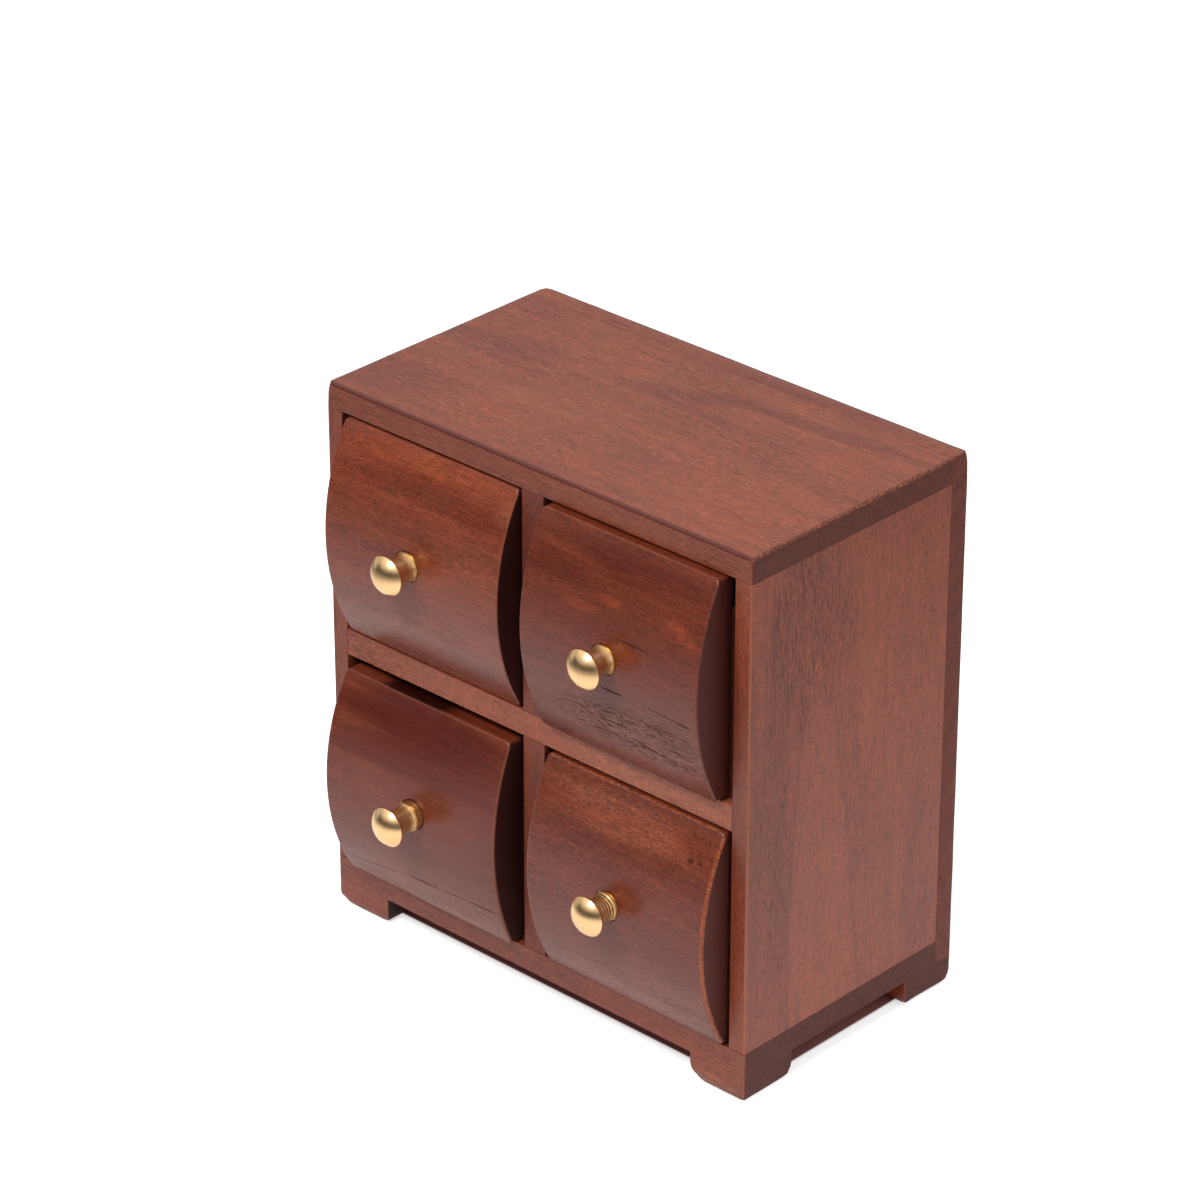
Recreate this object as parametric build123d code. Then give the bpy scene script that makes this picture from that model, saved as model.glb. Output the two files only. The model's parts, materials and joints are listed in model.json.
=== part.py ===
from build123d import *

import os
from dataclasses import dataclass

# Case, over the outside, millimetres
case_width = 190.0
case_depth = 106.0
case_height = 202.0

# Boards of the case
top_thickness = 9.2
side_thickness = 7.0
base_thickness = 9.0
shelf_thickness = 9.8
divider_thickness = 9.8
back_thickness = 8.2
housing_depth = 1.2       # shelf ends let into the sides
housing_stop = 8.0        # housings end short of the face
foot_size = 24.0
foot_height = 10.0

# Eased edges of the case
corner_radius = 0.8       # upright outer corners
worn_corner_radius = 4.0  # left corner of the back
rim_radius = 1.2          # round the top
foot_edge_radius = 3.4    # under the feet

# Drawer boards
bow_rise = 11.3           # swell of the front between its top and bottom edges, at its left end
lip_thickness = 6.0       # front board at its edges, before the drawer sides
tongue_thickness = 6.0    # rear of the front board, between the drawer sides
front_corner_radius = 2.0
bow_spill = 2.0           # past the edges of the front, where the swell is cut
wall_thickness = 5.5      # drawer sides and drawer back
wall_drop = 12.0          # top of the walls below the top of the front
bottom_thickness = 3.0
bottom_rise = 4.0         # underside of the panel above the lower edge of the walls
groove_depth = 2.5
groove_clearance = 0.1
slide_gap = 0.4           # under each drawer
stop_gap = 1.4            # behind a drawer whose edges are flush with the case

# Turned knob, along its own axis
knob_length = 15.8
knob_flange_diameter = 10.6
knob_flange_thickness = 2.2
knob_groove_diameter = 9.2
knob_groove_width = 0.8
knob_stem_diameter = 10.4  # at the foot of the flare
knob_waist_diameter = 9.0
knob_flare_top = 6.0
knob_cove_foot = 9.0
knob_head_diameter = 14.2
knob_rim_height = 11.6
knob_rim_thickness = 0.6
knob_hole_depth = 8.0
knob_seat_diameter = 11.2  # hole in the bowed front that takes the flange
knob_seat_depth = 2.6

# Knob screw
screw_diameter = 3.0
screw_head_diameter = 5.6
screw_head_height = 1.8
screw_hole_diameter = 3.4
screw_thread_clearance = 0.05
screw_end_gap = 0.5
counterbore_diameter = 6.6
counterbore_depth = 2.4

# Brads of rectangular wire, heads punched under the surface and filled
brad_width = 1.25
brad_thickness = 1.0
long_brad = 20.0
short_brad = 14.0
brad_cover = 0.8
brad_clearance = 0.03
brad_tip_gap = 0.3
brad_setback = 17.0       # from the front and the back of the case boards
brad_stagger = 5.0        # between the brads over and under the shelf
foot_brad_spread = 4.8    # from the middle of a foot
wall_brad_inset = 10.0    # from the upper and lower ends of the drawer corners
bottom_brad_spread = 10.0  # from the middle of a drawer


@dataclass
class Fit:
    """How one hand-fitted drawer sits in its opening"""
    column: int
    row: int
    left_gap: float
    right_gap: float
    top_gap: float
    proud: float          # edges of the front before the face of the case
    bow_loss: float       # swell that the right end of the front lacks
    arris: float          # rounding along the edges of the front
    knob_across: float    # knob from the middle of the front
    knob_up: float
    knob_slack: float     # flange clear of its seat


fits = {
    "upper_left": Fit(0, 1, 1.6, 1.1, 1.0, -0.3, 0.0, 0.7, -1.4, 1.6, 0.0),
    "upper_right": Fit(1, 1, 2.2, 3.8, 0.8, 2.8, 0.7, 0.7, -1.5, 1.6, 0.0),
    "lower_left": Fit(0, 0, 2.0, 3.2, 3.2, 2.8, 2.6, 1.0, 1.7, 1.3, 2.4),
    "lower_right": Fit(1, 0, 2.4, 1.5, 1.0, 1.0, 0.0, 1.5, -2.5, 1.1, 0.0),
}

# Levels of the case and its openings. The origin is on the floor, in the middle of the closed object.
left_x = -case_width / 2
right_x = case_width / 2
base_z = foot_height
floor_z = base_z + base_thickness
ceiling_z = case_height - top_thickness
opening_height = (ceiling_z - floor_z - shelf_thickness) / 2
opening_width = (case_width - 2 * side_thickness - divider_thickness) / 2
shelf_z = floor_z + opening_height
upper_z = shelf_z + shelf_thickness
drawer_length = case_depth - back_thickness - stop_gap


def seat_stand(fit):
    """Surface of a bowed front at its knob, before the edges of the front"""
    width = opening_width - fit.left_gap - fit.right_gap
    height = opening_height - slide_gap - fit.top_gap
    rise = bow_rise - fit.bow_loss * (0.5 + fit.knob_across / width)
    radius = (height ** 2 / 4 + rise ** 2) / (2 * rise)
    return rise - radius + (radius ** 2 - fit.knob_up ** 2) ** 0.5


# Front and back faces
knob_reach = knob_length - knob_seat_depth
front_reach = max(fit.proud + seat_stand(fit) + knob_reach + fit.knob_slack for fit in fits.values())
face_y = (front_reach - case_depth) / 2
back_y = face_y + case_depth
panel_y = back_y - back_thickness


def board(x0, x1, y0, y1, z0, z1):
    """Square-edged board between six planes"""
    return Pos((x0 + x1) / 2, (y0 + y1) / 2, (z0 + z1) / 2) * Box(x1 - x0, y1 - y0, z1 - z0)


def rod(x, z, y0, y1, diameter):
    """Round bar that runs from front to back"""
    return Pos(x, (y0 + y1) / 2, z) * Rot(90, 0, 0) * Cylinder(diameter / 2, abs(y1 - y0))


def brad(head, direction, length, clearance=0.0):
    """Brad driven from a point on the outside of a board. A clearance gives the hole for it."""
    grown = 2 * clearance
    reach = length + (brad_tip_gap if clearance else 0.0)
    wire = Box(brad_width + grown, brad_thickness + grown, reach)
    return Plane(head, z_dir=direction) * Pos(0, 0, brad_cover + reach / 2) * wire


def drill(solid, places):
    """Board with a hole for each brad that reaches it"""
    for head, direction, length in places:
        solid = solid - brad(head, direction, length, brad_clearance)
    return solid


def save(shape, name):
    shape.label = name
    export_step(shape, os.path.join("parts", name + ".step"))


def save_group(places, name):
    save(Compound(children=[brad(*place) for place in places]), name)


def upright(shape, at_front, side=0):
    """Upright edges of a board at its front or its back, on one side or on both"""
    chosen = shape.edges().filter_by(Axis.Z).group_by(Axis.Y)[0 if at_front else -1]
    if side:
        chosen = chosen.sort_by(Axis.X)[-1 if side > 0 else 0:][:1]
    return chosen


os.makedirs("parts", exist_ok=True)

# Where the brads of the case go
left, right, forward, up, down = (-1, 0, 0), (1, 0, 0), (0, -1, 0), (0, 0, 1), (0, 0, -1)
rows_y = (face_y + brad_setback, panel_y - brad_setback)
side_x = case_width / 2 - side_thickness / 2
upright_x = (-side_x, 0, side_x)
shelf_mid = shelf_z + shelf_thickness / 2
top_places = [((x, y, case_height), down, long_brad) for x in upright_x for y in rows_y]
base_places = [((x, y, base_z), up, long_brad) for x in upright_x for y in rows_y]
shelf_places = [((left_x, y, shelf_mid), right, long_brad) for y in rows_y]
shelf_places += [((right_x, y, shelf_mid), left, long_brad) for y in rows_y]
upper_places = [((0, y, shelf_z), up, long_brad) for y in rows_y]
lower_y = [y + brad_stagger for y in rows_y]
lower_places = [((0, y, upper_z), down, long_brad) for y in lower_y]
top_mid = ceiling_z + top_thickness / 2
base_mid = base_z + base_thickness / 2
back_edges = [(x, z) for x in (-side_x / 2, side_x / 2) for z in (base_mid, top_mid)]
back_edges += [(x, z + opening_height / 2) for x in (-side_x, side_x) for z in (floor_z, upper_z)]
back_places = [((x, back_y, z), forward, long_brad) for x, z in back_edges]

# Four feet, flush with the corners of the case
foot_places = []
for side, side_name in ((-1, "left"), (1, "right")):
    outer_x = side * case_width / 2
    inner_x = outer_x - side * foot_size
    for at_front, end_name in ((True, "front"), (False, "rear")):
        near_y = face_y if at_front else back_y - foot_size
        far_y = near_y + foot_size
        foot = board(min(outer_x, inner_x), max(outer_x, inner_x), near_y, far_y, 0, foot_height)
        foot = fillet(upright(foot, at_front, side), corner_radius)
        foot = fillet(foot.faces().sort_by(Axis.Z)[0].edges(), foot_edge_radius)
        held_y = (near_y + min(far_y, panel_y)) / 2
        held_x = (outer_x + inner_x) / 2
        places = [((held_x + step, held_y, 0), up, short_brad) for step in (-foot_brad_spread, foot_brad_spread)]
        save(drill(foot, places), end_name + "_" + side_name + "_foot")
        foot_places += places

# Base, sides, shelf and dividers
base = board(left_x, right_x, face_y, panel_y, base_z, floor_z)
base = fillet(upright(base, True), corner_radius)
save(drill(base, base_places + foot_places + back_places), "base_board")

for side, side_name in ((-1, "left"), (1, "right")):
    outer_x = side * case_width / 2
    inner_x = outer_x - side * side_thickness
    wall = board(min(outer_x, inner_x), max(outer_x, inner_x), face_y, panel_y, floor_z, ceiling_z)
    wall = fillet(upright(wall, True, side), corner_radius)
    housed_x = inner_x + side * housing_depth
    housing_y = face_y + housing_stop
    wall = wall - board(min(inner_x, housed_x), max(inner_x, housed_x), housing_y, panel_y, shelf_z, upper_z)
    wall = drill(wall, [place for place in top_places + base_places if place[0][0] * side > 0])
    wall = drill(wall, [place for place in shelf_places + back_places if place[0][0] * side > 0])
    save(wall, side_name + "_side")

shelf_end = case_width / 2 - side_thickness
shelf = board(-shelf_end, shelf_end, face_y, panel_y, shelf_z, upper_z)
housed_end = shelf_end + housing_depth
shelf = shelf + board(-housed_end, housed_end, face_y + housing_stop, panel_y, shelf_z, upper_z)
save(drill(shelf, shelf_places + upper_places + lower_places), "shelf")

half = divider_thickness / 2
divider = board(-half, half, face_y, panel_y, upper_z, ceiling_z)
save(drill(divider, upper_places + [place for place in top_places if place[0][0] == 0]), "upper_divider")
divider = board(-half, half, face_y, panel_y, floor_z, shelf_z)
save(drill(divider, lower_places + [place for place in base_places if place[0][0] == 0]), "lower_divider")

# Top and back, with the rim of the top carried round the back panel
top = board(left_x, right_x, face_y, panel_y, ceiling_z, case_height)
top = fillet(upright(top, True), corner_radius)
top = fillet(top.faces().sort_by(Axis.Z)[-1].edges().sort_by(Axis.Y)[:-1], rim_radius)
save(drill(top, top_places + back_places), "top_board")

back = board(left_x, right_x, panel_y, back_y, base_z, case_height)
back = fillet(upright(back, False, -1), worn_corner_radius)
back = fillet(upright(back, False, 1), corner_radius)
back = fillet(back.faces().sort_by(Axis.Z)[-1].edges().sort_by(Axis.Y)[1:], rim_radius)
save(drill(back, back_places), "back_panel")

save_group(top_places, "top_brads")
save_group(base_places, "base_brads")
save_group(shelf_places, "shelf_brads")
save_group(upper_places + lower_places, "divider_brads")
save_group(back_places, "back_brads")
save_group(foot_places, "foot_brads")


def turned_knob():
    """Brass knob with its flange at the origin and its head along the local Z axis"""
    flange = knob_flange_diameter / 2
    groove = knob_groove_diameter / 2
    stem = knob_stem_diameter / 2
    waist = knob_waist_diameter / 2
    head = knob_head_diameter / 2
    groove_z = knob_flange_thickness + knob_groove_width
    rim_z = knob_rim_height + knob_rim_thickness
    foot = Polyline(
        (0, 0), (flange, 0), (flange, knob_flange_thickness), (groove, knob_flange_thickness),
        (groove, groove_z), (stem, groove_z),
    )
    flare = TangentArc((waist, knob_flare_top), (stem, groove_z), tangent=(0, -1))
    neck = Line((waist, knob_flare_top), (waist, knob_cove_foot))
    cove = TangentArc((waist, knob_cove_foot), (head, knob_rim_height), tangent=(0, 1))
    rim = Line((head, knob_rim_height), (head, rim_z))
    dome = TangentArc((0, knob_length), (head, rim_z), tangent=(1, 0))
    axis = Line((0, knob_length), (0, 0))
    profile = make_face([foot, flare, neck, cove, rim, dome, axis])
    knob = revolve(Plane.XZ * profile, Axis.Z)
    bore = screw_diameter / 2 + screw_thread_clearance
    return knob - Pos(0, 0, knob_hole_depth / 2) * Cylinder(bore, knob_hole_depth)


def bow_section(rise, height):
    """Upright section of a bowed front, larger all round than the front, from the middle of its edge line"""
    radius = (height ** 2 / 4 + rise ** 2) / (2 * rise)
    half = height / 2 + bow_spill
    end_y = radius - rise - (radius ** 2 - half ** 2) ** 0.5
    rear_y = lip_thickness + tongue_thickness + bow_spill
    swell = ThreePointArc((end_y, -half), (-rise, 0), (end_y, half))
    rear = Polyline((end_y, half), (rear_y, half), (rear_y, -half), (end_y, -half))
    return Plane.YZ * make_face([swell, rear])


knob = turned_knob()

for name, fit in fits.items():
    prefix = "drawer_" + name + "_"
    slot_x = left_x + side_thickness + fit.column * (opening_width + divider_thickness)
    slot_z = upper_z if fit.row else floor_z
    x0 = slot_x + fit.left_gap
    x1 = slot_x + opening_width - fit.right_gap
    z0 = slot_z + slide_gap
    z1 = slot_z + opening_height - fit.top_gap
    inner_x0 = x0 + wall_thickness
    inner_x1 = x1 - wall_thickness
    mid_x = (x0 + x1) / 2
    mid_z = (z0 + z1) / 2
    edge_y = face_y - fit.proud
    lip_y = edge_y + lip_thickness
    tongue_y = lip_y + tongue_thickness
    rear_y = edge_y + drawer_length
    wall_z = z1 - wall_drop
    panel_z = z0 + bottom_rise
    panel_top = panel_z + bottom_thickness
    groove_top = panel_top + groove_clearance

    # Brads through the walls into the front and the back, and through the bottom into the back
    levels = (panel_top + wall_brad_inset, wall_z - wall_brad_inset)
    corners_y = (lip_y + tongue_thickness / 2, rear_y - wall_thickness / 2)
    left_places = [((x0, y, z), right, short_brad) for y in corners_y for z in levels]
    right_places = [((x1, y, z), left, short_brad) for y in corners_y for z in levels]
    middles = (mid_x - bottom_brad_spread, mid_x + bottom_brad_spread)
    bottom_places = [((x, corners_y[1], panel_z), up, short_brad) for x in middles]

    # Flat seat for the knob on the swell of the front
    knob_x = mid_x + fit.knob_across
    knob_z = mid_z + fit.knob_up
    crown_y = edge_y - bow_rise
    seat_y = edge_y - seat_stand(fit) + knob_seat_depth
    flange_y = seat_y - fit.knob_slack
    screw_y = tongue_y - counterbore_depth
    tip_y = flange_y - knob_hole_depth + screw_end_gap

    # Bowed front with rebated ends and a groove for the bottom
    front = board(x0, x1, crown_y, tongue_y, z0, z1)
    front = fillet(front.edges().filter_by(Axis.Y), front_corner_radius)
    sections = []
    for end_x in (x0 - bow_spill, x1 + bow_spill):
        rise = bow_rise - fit.bow_loss * (end_x - x0) / (x1 - x0)
        sections.append(Pos(end_x, edge_y, mid_z) * bow_section(rise, z1 - z0))
    front = front & loft(sections, ruled=True)
    front = fillet(front.faces().sort_by(Axis.Y)[0].edges(), fit.arris)
    front = front - board(x0, inner_x0, lip_y, tongue_y, z0, z1)
    front = front - board(inner_x1, x1, lip_y, tongue_y, z0, z1)
    front = front - board(inner_x0, inner_x1, tongue_y - groove_depth, tongue_y, panel_z, groove_top)
    front = front - rod(knob_x, knob_z, crown_y, seat_y, knob_seat_diameter)
    front = front - rod(knob_x, knob_z, seat_y, tongue_y, screw_hole_diameter)
    front = front - rod(knob_x, knob_z, screw_y, tongue_y, counterbore_diameter)
    save(drill(front, left_places + right_places), prefix + "front")

    # Box behind the front
    wall = board(x0, inner_x0, lip_y, rear_y, z0, wall_z)
    wall = wall - board(inner_x0 - groove_depth, inner_x0, lip_y, rear_y, panel_z, groove_top)
    save(drill(wall, left_places), prefix + "left_side")
    wall = board(inner_x1, x1, lip_y, rear_y, z0, wall_z)
    wall = wall - board(inner_x1, inner_x1 + groove_depth, lip_y, rear_y, panel_z, groove_top)
    save(drill(wall, right_places), prefix + "right_side")
    wall = board(inner_x0, inner_x1, rear_y - wall_thickness, rear_y, panel_top, wall_z)
    save(drill(wall, left_places + right_places + bottom_places), prefix + "back")
    let_in = groove_depth - groove_clearance
    panel = board(inner_x0 - let_in, inner_x1 + let_in, tongue_y - let_in, rear_y, panel_z, panel_top)
    save(drill(panel, bottom_places), prefix + "bottom")

    # Knob, its screw and the brads
    save(Pos(knob_x, flange_y, knob_z) * Rot(90, 0, 0) * knob, prefix + "knob")
    screw = rod(knob_x, knob_z, tip_y, screw_y, screw_diameter)
    screw = screw + rod(knob_x, knob_z, screw_y, screw_y + screw_head_height, screw_head_diameter)
    save(screw, prefix + "knob_screw")
    save_group(left_places + right_places + bottom_places, prefix + "brads")
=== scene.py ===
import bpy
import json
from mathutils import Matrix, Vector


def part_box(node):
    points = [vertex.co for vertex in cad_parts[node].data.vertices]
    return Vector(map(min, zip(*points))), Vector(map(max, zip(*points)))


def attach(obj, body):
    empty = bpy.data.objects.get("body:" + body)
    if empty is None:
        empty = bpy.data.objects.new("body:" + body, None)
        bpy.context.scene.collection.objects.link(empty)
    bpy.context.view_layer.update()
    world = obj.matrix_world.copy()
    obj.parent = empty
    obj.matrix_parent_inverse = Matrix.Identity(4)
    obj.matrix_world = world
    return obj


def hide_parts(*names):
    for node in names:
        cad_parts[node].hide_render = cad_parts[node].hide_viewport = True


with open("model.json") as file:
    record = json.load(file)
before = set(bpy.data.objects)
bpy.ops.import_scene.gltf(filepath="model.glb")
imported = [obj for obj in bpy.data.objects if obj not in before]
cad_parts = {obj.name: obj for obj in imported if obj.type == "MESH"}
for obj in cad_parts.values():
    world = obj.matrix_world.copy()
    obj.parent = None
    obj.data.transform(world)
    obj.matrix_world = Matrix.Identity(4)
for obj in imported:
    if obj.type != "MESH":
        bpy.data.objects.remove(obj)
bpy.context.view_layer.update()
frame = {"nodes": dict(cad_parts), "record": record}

import json
import math

import bmesh
import bpy
from mathutils import Matrix, Vector, noise

mm = 0.001
nodes = frame["nodes"]
bodyOf = {n: body for body, members in frame["record"]["behaviour"]["bodies"].items() for n in members}
drawers = ["upper_left", "upper_right", "lower_left", "lower_right"]
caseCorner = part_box("front_left_foot")[0]  # front left corner on the floor, from which all marks are measured


# Small helpers for node trees

def setInput(tree, socket, value):
    if isinstance(value, bpy.types.NodeSocket):
        tree.links.new(value, socket)
    else:
        socket.default_value = value


def addNode(tree, kind, inputs=None, **settings):
    made = tree.nodes.new("ShaderNode" + kind)
    for key, value in settings.items():
        setattr(made, key, value)
    for key, value in (inputs or {}).items():
        setInput(tree, made.inputs[key], value)
    return made


def calc(tree, operation, *values, clamp=False):
    return addNode(tree, "Math", dict(enumerate(values)), operation=operation, use_clamp=clamp).outputs[0]


def fade(tree, value, start, end, low=0.0, high=1.0):
    # smooth step from low at start to high at end
    inputs = {"Value": value, "From Min": start, "From Max": end, "To Min": low, "To Max": high}
    return addNode(tree, "MapRange", inputs, interpolation_type="SMOOTHSTEP").outputs[0]


def blendColour(tree, share, first, second):
    made = addNode(tree, "Mix", {"Factor": share}, data_type="RGBA")
    setInput(tree, made.inputs["A"], first)
    setInput(tree, made.inputs["B"], second)
    return made.outputs["Result"]


def stepFrom(tree, vector, start):
    return addNode(tree, "VectorMath", {0: vector, 1: start}, operation="SUBTRACT").outputs[0]


def scaled(tree, vector, factor):
    return addNode(tree, "VectorMath", {0: vector, "Scale": factor}, operation="SCALE").outputs[0]


def facing(tree, normal, way, reach):
    # 1 where a face looks the given way, 0 where it looks elsewhere
    turned = addNode(tree, "VectorMath", {0: normal, 1: way}, operation="DOT_PRODUCT").outputs["Value"]
    return fade(tree, turned, *reach)


def grainVector(tree, axes, lengths):
    parts = [calc(tree, "DIVIDE", axis, length) for axis, length in zip(axes, lengths)]
    return addNode(tree, "CombineXYZ", dict(zip("XYZ", parts))).outputs[0]


def grainNoise(tree, axes, lengths, seed, detail=2.0, roughness=0.5):
    # noise drawn out along the grain; lengths are the grain-wise and two cross-wise sizes in millimetres
    inputs = {
        "Vector": grainVector(tree, axes, lengths), "W": seed, "Scale": 1.0,
        "Detail": detail, "Roughness": roughness,
    }
    return addNode(tree, "TexNoise", inputs, noise_dimensions="4D").outputs["Fac"]


# Wood figure, one shared group: rings round a pith, drawn-out fibres, pores and blotches of stain

figureInputs = {
    "Along": 0.0, "Across": 0.0, "Depth": 0.0, "Seed": 0.0, "PithAcross": 0.0, "PithDepth": -30.0,
    "Taper": 0.04, "Spacing": 6.0, "Phase": 0.0, "Warp": 3.0,
}
figureOutputs = (
    "Late", "RingTint", "Fibre", "Streak", "Mottle", "Grit", "Pores", "Patches", "Flecks", "Blotch",
)
rings = {
    "wander": (75, 17, 17), "unevenLength": 9.0, "unevenness": 3.0,
    "lateStart": 0.45, "latePeak": 0.94,    # shares of one ring
}
seedSteps = (17.3, 29.1)                    # set the second and third kind of noise apart from the first
layers = {                                  # noise sizes in millimetres; steps turn noise into clear shapes
    "Fibre": {"size": (13, 0.8, 0.8), "detail": 3.0, "roughness": 0.62},
    "Streak": {"size": (70, 4.0, 4.0), "detail": 3.0},
    "Mottle": {"size": (2.4, 1.3, 1.3), "seed": 1, "roughness": 0.6},
    "Grit": {"size": (1.2, 0.55, 0.55), "seed": 2, "roughness": 0.6},
    "shortPores": {"size": (3.2, 0.30, 0.30), "detail": 1.0, "steps": (0.53, 0.61)},
    "longPores": {"size": (15, 0.42, 0.42), "seed": 1, "detail": 1.0, "steps": (0.60, 0.68)},
    "Patches": {"size": (48, 9, 9), "steps": (0.42, 0.66)},
    "Flecks": {"size": (4.5, 0.7, 0.7), "seed": 2, "detail": 1.0, "steps": (0.60, 0.72)},
    "Blotch": {"size": (44, 24, 24), "detail": 3.0},
}


def makeFigureGroup():
    group = bpy.data.node_groups.new("woodFigure", "ShaderNodeTree")
    for name, value in figureInputs.items():
        group.interface.new_socket(name, in_out="INPUT", socket_type="NodeSocketFloat").default_value = value
    for name in figureOutputs:
        group.interface.new_socket(name, in_out="OUTPUT", socket_type="NodeSocketFloat")
    given = group.nodes.new("NodeGroupInput").outputs
    axes = [given["Along"], given["Across"], given["Depth"]]
    seeds = [given["Seed"]] + [calc(group, "ADD", given["Seed"], step) for step in seedSteps]

    wander = calc(group, "SUBTRACT", grainNoise(group, axes, rings["wander"], seeds[0]), 0.5)
    offs = [calc(group, "SUBTRACT", given[way], given["Pith" + way]) for way in ("Across", "Depth")]
    radius = calc(group, "ADD", *[calc(group, "MULTIPLY", off, off) for off in offs])
    radius = calc(group, "SQRT", radius)
    radius = calc(group, "MULTIPLY_ADD", given["Along"], given["Taper"], radius)
    radius = calc(group, "MULTIPLY_ADD", wander, given["Warp"], radius)
    inputs = {"W": calc(group, "DIVIDE", radius, rings["unevenLength"]), "Detail": 1.0}
    uneven = addNode(group, "TexNoise", inputs, noise_dimensions="1D").outputs["Fac"]
    radius = calc(group, "MULTIPLY_ADD", uneven, rings["unevenness"], radius)
    place = calc(group, "ADD", calc(group, "DIVIDE", radius, given["Spacing"]), given["Phase"])
    phase = calc(group, "FRACT", place)
    rise = fade(group, phase, rings["lateStart"], rings["latePeak"])
    fall = fade(group, phase, rings["latePeak"], 1.0, 1.0, 0.0)
    ringNumber = calc(group, "ADD", calc(group, "FLOOR", place), seeds[0])
    ringTint = addNode(group, "TexWhiteNoise", {"W": ringNumber}, noise_dimensions="1D").outputs["Value"]
    made = {"Late": calc(group, "MULTIPLY", rise, fall), "RingTint": ringTint}

    for name, layer in layers.items():
        kind = {key: layer[key] for key in ("detail", "roughness") if key in layer}
        made[name] = grainNoise(group, axes, layer["size"], seeds[layer.get("seed", 0)], **kind)
        if "steps" in layer:
            made[name] = fade(group, made[name], *layer["steps"])
    made["Pores"] = calc(group, "MAXIMUM", made["shortPores"], made["longPores"])
    out = group.nodes.new("NodeGroupOutput").inputs
    for name in figureOutputs:
        group.links.new(made[name], out[name])
    return group


figureGroup = makeFigureGroup()


# Stained wood. Places are in millimetres from the front left corner on the floor.

stain = {
    "light": (0.300, 0.066, 0.027, 1),
    "dark": (0.150, 0.028, 0.012, 1),
    "deepAndPaintedShade": (0.098, 0.0125, 0.0055, 1),     # where the stain lies thick; also painted shade on the right stile
    "emberAndPaintedLight": (0.360, 0.066, 0.017, 1),      # where the stain is thin over bright wood; also painted light on the rear right foot, and a painted gap in the sheen beside the upper left knob
    # pale wood, also used for a painted highlight and a painted sheen on two fronts
    "paleAndPaintedSheen": (0.360, 0.110, 0.055, 1),
    "pore": (0.040, 0.009, 0.005, 1),
    # near black: for cracks, and for painted shade where a face lies in deep shadow
    "crackAndShade": (0.014, 0.002, 0.001, 1),
    "endGrain": (0.066, 0.0085, 0.0035, 1),
    # painted shade for the ends of fronts in the gap between drawers
    "paintedShadeEnd": (0.032, 0.0045, 0.002, 1),
    # worn arrises, and painted glints along the top's right edge
    "wornEdgeAndPaintedGlint": (0.430, 0.120, 0.040, 1),
    "darkEdge": (0.080, 0.012, 0.006, 1),
}
boxStain = {                                # a thin brown wash inside the drawers
    "light": (0.270, 0.095, 0.042, 1),
    "dark": (0.160, 0.050, 0.022, 1),
    "pore": (0.050, 0.015, 0.007, 1),
    "endGrain": (0.100, 0.030, 0.014, 1),
}
plainWood = {                               # what a board's own look leaves unsaid
    "tone": 0.5, "streak": 0.8, "ringtint": 0.12, "blotch": 0.9, "late": 0.12,
    "fibre": 1.0, "mottle": 0.7, "grit": 1.5, "pores": 0.6, "poresElsewhere": 0.12, "endLight": 0.6,
    "roughness": 0.36, "relief": 0.45, "ior": 1.48, "sheen": (1, 1, 1, 1),
    "marks": (), "endMarks": (), "edges": (),
}
gloss = {"fibre": 0.16, "pores": 0.4, "sunk": 0.5, "endGrain": 0.28}  # how much each takes from the shine
woodMake = {
    "faceReach": (0.75, 0.92), "endReach": (0.62, 0.92),    # how squarely a face looks along an axis
    "porePatches": 0.85, "leastShade": 0.2, "endGrit": 0.9, "endRings": 0.14,
    "bumpGrit": 0.3, "bumpFibre": 0.35, "bumpDepth": 0.12 * mm,
    "speckSeed": 7.3, "speckSteps": ((0.62, 0.3), (0.66, 0.2)),     # each step, and its drop for more specks
}


def patch(plane, centre, size, colour=None, strength=1.0, **more):
    # an oval of stain or of pores: where it lies on two axes, and half its length and width
    said = {"plane": plane, "centre": centre, "size": size, "colour": colour, "strength": strength}
    return {"tilt": 0.0, "core": 0.3, "ragged": 1.2} | said | more


def crack(centre, size, strength, tilt=0.0):
    # one crisp dark line along the grain of a front
    return patch("XZ", centre, size, "crackAndShade", strength, tilt=tilt, core=0.5, ragged=0.3, sunk=True)


def arris(towards, colour, strength, reach=(0.80, 0.93), **specks):
    return {"towards": towards, "colour": colour, "strength": strength, "reach": reach} | specks


def newMaterial(name):
    material = bpy.data.materials.new(name)
    material.use_nodes = True
    material.node_tree.nodes.clear()
    return material, material.node_tree


def dress(node, material):
    data = nodes[node].data
    data.materials.clear()
    data.materials.append(material)


def setSurface(tree, socket, kind="OutputMaterial"):
    tree.links.new(socket, addNode(tree, kind).inputs["Surface"])


def caseMillimetres(tree):
    coords = addNode(tree, "TexCoord").outputs
    place = scaled(tree, stepFrom(tree, coords["Object"], caseCorner), 1 / mm)
    return addNode(tree, "SeparateXYZ", {0: place}).outputs, coords["Normal"]


def spot(tree, place, mark, ragged):
    # soft oval, 1 inside and 0 outside, its long axis turned by the mark's tilt
    along, up = [calc(tree, "SUBTRACT", place["XYZ".index(letter)], middle)
                 for letter, middle in zip(mark["plane"], mark["centre"])]
    turn = math.radians(mark["tilt"])
    if turn:
        cosine, sine = math.cos(turn), math.sin(turn)
        along, up = (
            calc(tree, "MULTIPLY_ADD", up, sine, calc(tree, "MULTIPLY", along, cosine)),
            calc(tree, "MULTIPLY_ADD", along, -sine, calc(tree, "MULTIPLY", up, cosine)),
        )
    shares = [calc(tree, "DIVIDE", off, half) for off, half in zip((along, up), mark["size"])]
    reach = calc(tree, "ADD", *[calc(tree, "MULTIPLY", share, share) for share in shares])
    reach = calc(tree, "SQRT", reach)
    reach = calc(tree, "MULTIPLY_ADD", calc(tree, "SUBTRACT", ragged, 0.5), mark["ragged"], reach)
    return fade(tree, reach, mark["core"], 1.0, 1.0, 0.0)


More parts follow.
